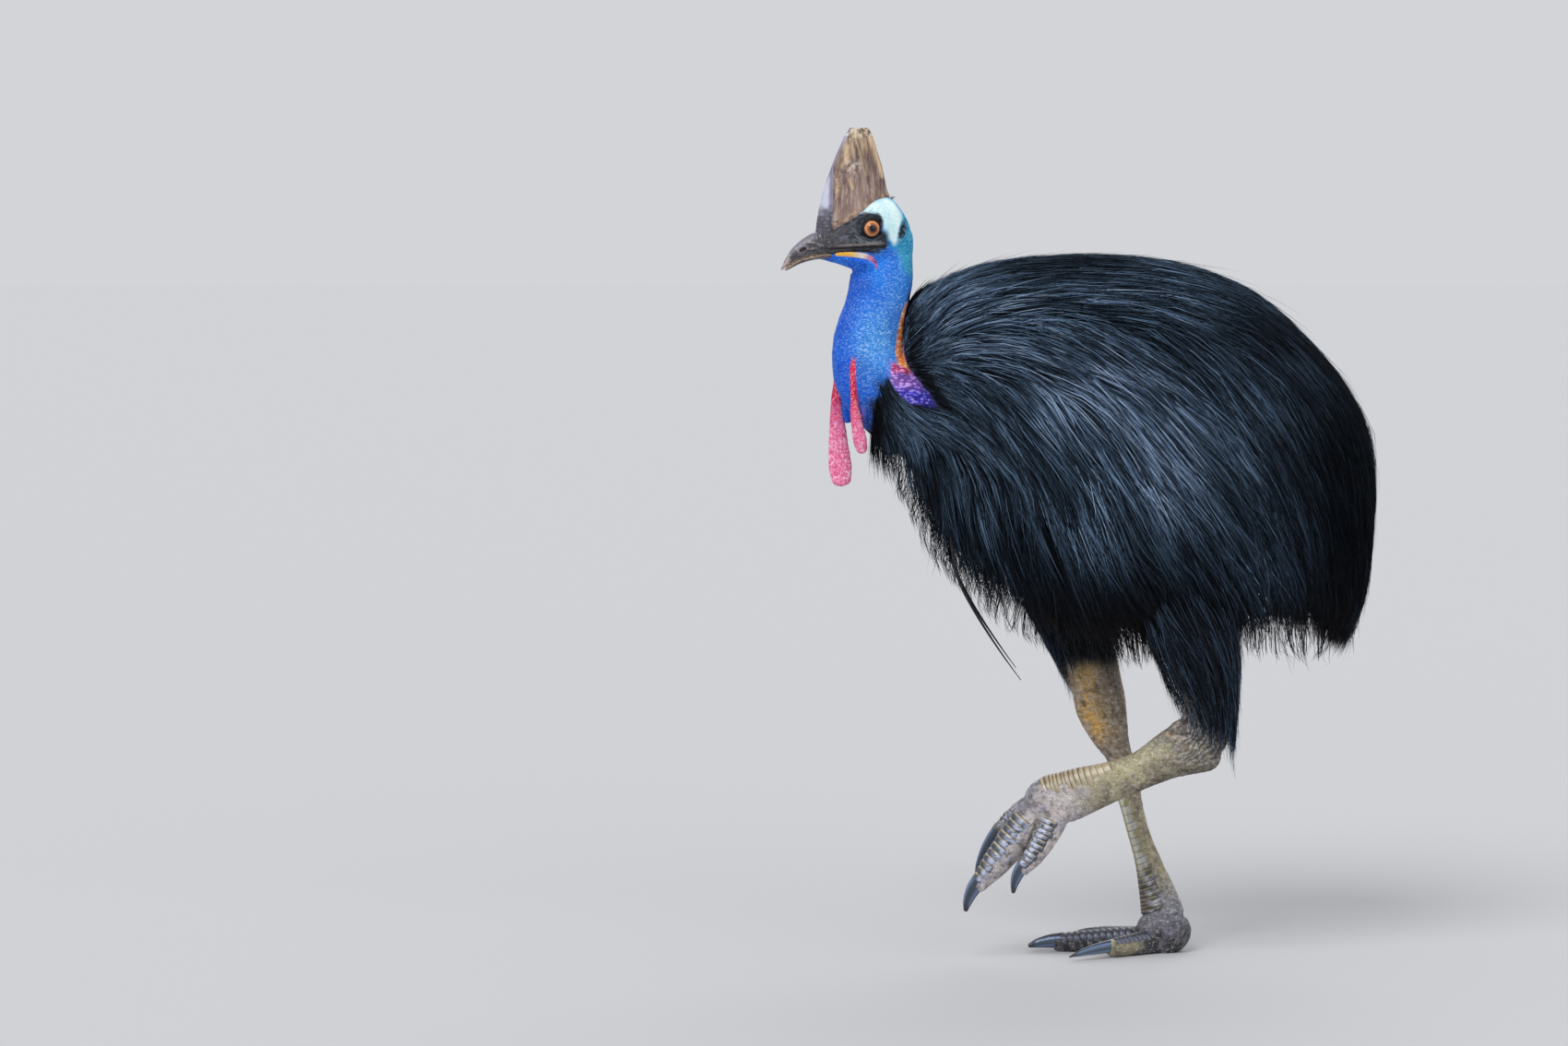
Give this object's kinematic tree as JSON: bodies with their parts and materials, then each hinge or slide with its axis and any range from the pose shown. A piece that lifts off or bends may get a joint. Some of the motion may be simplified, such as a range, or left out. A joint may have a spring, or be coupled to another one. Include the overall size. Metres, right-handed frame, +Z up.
{
  "type": "southern cassowary",
  "caption": "Life-size still model of a southern cassowary in mid stride: tall casque, blue neck, red wattles, hanging black plumes, a foot lifted.",
  "frame": {"origin": "on the floor under the middle of the bird's bounding box", "axes": "-X is ahead, the way the bill points, -Y is the bird's left, +Z is up"},
  "size_m": [1.0366, 0.4442, 1.43],
  "materials": {
    "plumage": "satin",
    "head_skin": "matte, wrinkled",
    "neck_skin": "matte, wrinkled",
    "wattle_skin": "matte, warty",
    "casque_horn": "worn, satin",
    "bill_horn": "satin",
    "eye": "wet gloss",
    "leg_skin": "satin scales",
    "claw_horn": "polished",
    "quill_horn": "polished"
  },
  "bodies": {
    "root": {"trunk": "plumage", "tail": "plumage", "thigh_left": "plumage", "thigh_right": "plumage", "head": "head_skin", "neck": "neck_skin", "wattle_left": "wattle_skin", "wattle_right": "wattle_skin", "casque": "casque_horn", "bill_upper": "bill_horn", "bill_lower": "bill_horn", "eye_left": "eye", "eye_right": "eye", "wing_left": "quill_horn", "wing_right": "quill_horn", "shank_left": "leg_skin", "tarsus_left": "leg_skin", "foot_left": "leg_skin", "toe_middle_left": "leg_skin", "toe_inner_left": "leg_skin", "toe_outer_left": "leg_skin", "claw_middle_left": "claw_horn", "claw_inner_left": "claw_horn", "claw_outer_left": "claw_horn", "shank_right": "leg_skin", "tarsus_right": "leg_skin", "foot_right": "leg_skin", "toe_middle_right": "leg_skin", "toe_inner_right": "leg_skin", "toe_outer_right": "leg_skin", "claw_middle_right": "claw_horn", "claw_inner_right": "claw_horn", "claw_outer_right": "claw_horn"}
  },
  "joints": []
}
